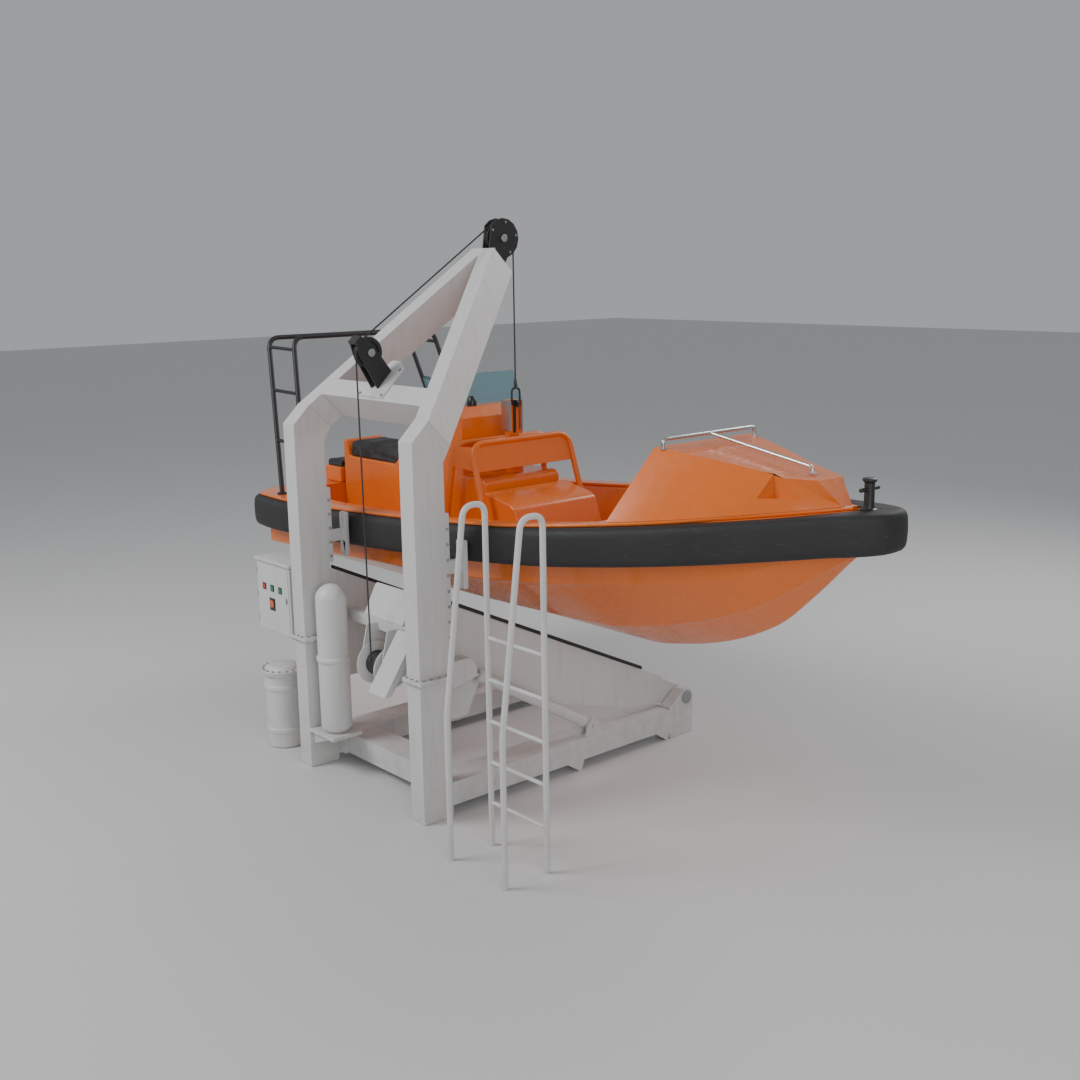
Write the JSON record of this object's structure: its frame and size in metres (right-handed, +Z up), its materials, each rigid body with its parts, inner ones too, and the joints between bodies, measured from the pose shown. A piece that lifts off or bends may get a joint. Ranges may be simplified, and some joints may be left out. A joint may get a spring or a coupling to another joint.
{
  "type": "fast rescue boat in a launching davit",
  "caption": "Open waterjet rescue boat with foam fender, hood, console, mast and helm seat, hung by its hook from a luffing frame davit with winch, tank, bottle, cabinet and a boarding ladder.",
  "frame": {"origin": "Middle of the bounding box in plan, on the deck plane the posts stand on.", "axes": "+X runs along the boat toward its bow, +Y outboard from the posts toward the boat, +Z up."},
  "size_m": [6.387, 3.1141, 4.3698],
  "materials": {
    "white_paint": "satin grey-white paint",
    "orange_gel": "glossy orange fibreglass",
    "orange_paint": "orange paint on tube",
    "black_foam": "matt black rubber skin",
    "cushion": "black coated fabric",
    "black_steel": "black paint",
    "steel": "polished stainless steel",
    "glass": "blue-green tinted clear screen",
    "engine_grey": "grey engine paint"
  },
  "bodies": {
    "launching_station": {"base_frame": "white_paint", "bottle_shelf": "white_paint", "gas_bottle": "white_paint", "oil_tank": "white_paint", "oil_tank_lid": "white_paint", "boarding_ladder": "white_paint"},
    "luffing_frame": {"upper_post_left": "white_paint", "upper_post_right": "white_paint", "davit_arm": "white_paint", "cradle_leg_left": "white_paint", "cradle_leg_right": "white_paint", "cradle_rubber_left": "black_foam", "cradle_rubber_right": "black_foam", "rear_strip_left": "white_paint", "rear_strip_right": "white_paint", "fender_pad_left": "white_paint", "fender_pad_right": "white_paint", "head_cheeks": "black_steel", "deflector_plate": "white_paint", "deflector_bracket": "black_steel", "fall_wire_run": "black_steel", "winch_frame": "white_paint", "winch_motor_cover": "white_paint", "control_cabinet": "white_paint"},
    "head_sheave": {"head_sheave": "black_steel"},
    "deflector_sheave": {"deflector_sheave": "black_steel"},
    "winch_drum": {"winch_drum": "black_steel"},
    "cabinet_door": {"cabinet_door": "white_paint"},
    "barrel_left": {"barrel_left": "white_paint"},
    "barrel_right": {"barrel_right": "white_paint"},
    "rod_left": {"rod_left": "steel"},
    "rod_right": {"rod_right": "steel"},
    "boat": {"hull": "orange_gel", "gunwale_deck": "orange_gel", "fender": "black_foam", "foredeck_hood": "orange_gel", "hood_rails": "steel", "bow_bollard": "black_steel", "console": "orange_gel", "windscreen": "glass", "compass": "black_steel", "helm_seat_base": "orange_gel", "helm_seat_cushion": "cushion", "aft_seat_base": "orange_gel", "aft_seat_cushion": "cushion", "engine_casing": "orange_gel", "engine_block": "engine_grey", "hook_post": "orange_gel", "hook_plates": "steel", "release_hook": "black_steel", "lifting_ring": "black_steel", "fall_wire_drop": "black_steel", "roll_hoop": "orange_paint", "stern_mast": "black_steel", "jet_housing": "black_steel"},
    "engine_hatch": {"engine_hatch": "orange_gel"},
    "steering_wheel": {"steering_wheel": "black_steel"},
    "jet_nozzle": {"jet_nozzle": "black_steel"},
    "jet_bucket": {"jet_bucket": "black_steel"}
  },
  "joints": [
    {"name": "luff", "type": "hinge", "parent": "launching_station", "child": "luffing_frame", "pos_m": [-0.4765, 1.472, 0.328], "axis": [-1, 0, 0], "range_deg": [0, 60]},
    {"name": "boat_level", "type": "hinge", "parent": "luffing_frame", "child": "boat", "pos_m": [-0.4765, 0.192, 4.215], "axis": [1, 0, 0], "range_deg": [0, 60]},
    {"name": "barrel_left_swing", "type": "hinge", "parent": "launching_station", "child": "barrel_left", "pos_m": [-1.2765, 0.38, 0.333], "axis": [-1, 0, 0], "range_deg": [0, 73]},
    {"name": "barrel_right_swing", "type": "hinge", "parent": "launching_station", "child": "barrel_right", "pos_m": [0.3235, 0.38, 0.333], "axis": [-1, 0, 0], "range_deg": [0, 73]},
    {"name": "rod_left_stroke", "type": "slide", "parent": "barrel_left", "child": "rod_left", "axis": [0, -0.8584, 0.513], "range_m": [0, 1.02]},
    {"name": "rod_right_stroke", "type": "slide", "parent": "barrel_right", "child": "rod_right", "axis": [0, -0.8584, 0.513], "range_m": [0, 1.02]},
    {"name": "head_sheave_spin", "type": "hinge", "parent": "luffing_frame", "child": "head_sheave", "pos_m": [-0.4765, 0.192, 4.215], "axis": [1, 0, 0], "continuous": true},
    {"name": "deflector_sheave_spin", "type": "hinge", "parent": "luffing_frame", "child": "deflector_sheave", "pos_m": [-0.4765, -1.095, 3.392], "axis": [1, 0, 0], "continuous": true},
    {"name": "winch_drum_spin", "type": "hinge", "parent": "luffing_frame", "child": "winch_drum", "pos_m": [-0.4765, -1.09, 0.99], "axis": [1, 0, 0], "continuous": true},
    {"name": "cabinet_door_swing", "type": "hinge", "parent": "luffing_frame", "child": "cabinet_door", "pos_m": [-1.8865, -1.34, 1.36], "axis": [0, 0, -1], "range_deg": [0, 110]},
    {"name": "engine_hatch_swing", "type": "hinge", "parent": "boat", "child": "engine_hatch", "pos_m": [0.1635, 0.325, 1.6523], "axis": [0, 1, 0], "range_deg": [0, 70]},
    {"name": "steering_wheel_turn", "type": "hinge", "parent": "boat", "child": "steering_wheel", "pos_m": [-1.3965, 0.325, 2.6], "axis": [-0.7507, 0, 0.6606], "range_deg": [-450, 450]},
    {"name": "jet_nozzle_steer", "type": "hinge", "parent": "boat", "child": "jet_nozzle", "pos_m": [-3.0715, 0.325, 1.45], "axis": [0, 0, 1], "range_deg": [-25, 25]},
    {"name": "jet_bucket_tilt", "type": "hinge", "parent": "jet_nozzle", "child": "jet_bucket", "pos_m": [-3.0965, 0.325, 1.45], "axis": [0, -1, 0], "range_deg": [0, 65]}
  ],
  "couplings": [
    {"joint": "boat_level", "follows": "luff", "ratio": 1},
    {"joint": "barrel_left_swing", "follows": "luff", "ratio": 1.2092},
    {"joint": "barrel_right_swing", "follows": "luff", "ratio": 1.2092},
    {"joint": "rod_left_stroke", "follows": "luff", "m_per_rad": 0.9648},
    {"joint": "rod_right_stroke", "follows": "luff", "m_per_rad": 0.9648},
    {"joint": "jet_nozzle_steer", "follows": "steering_wheel_turn", "ratio": 0.055556}
  ]
}
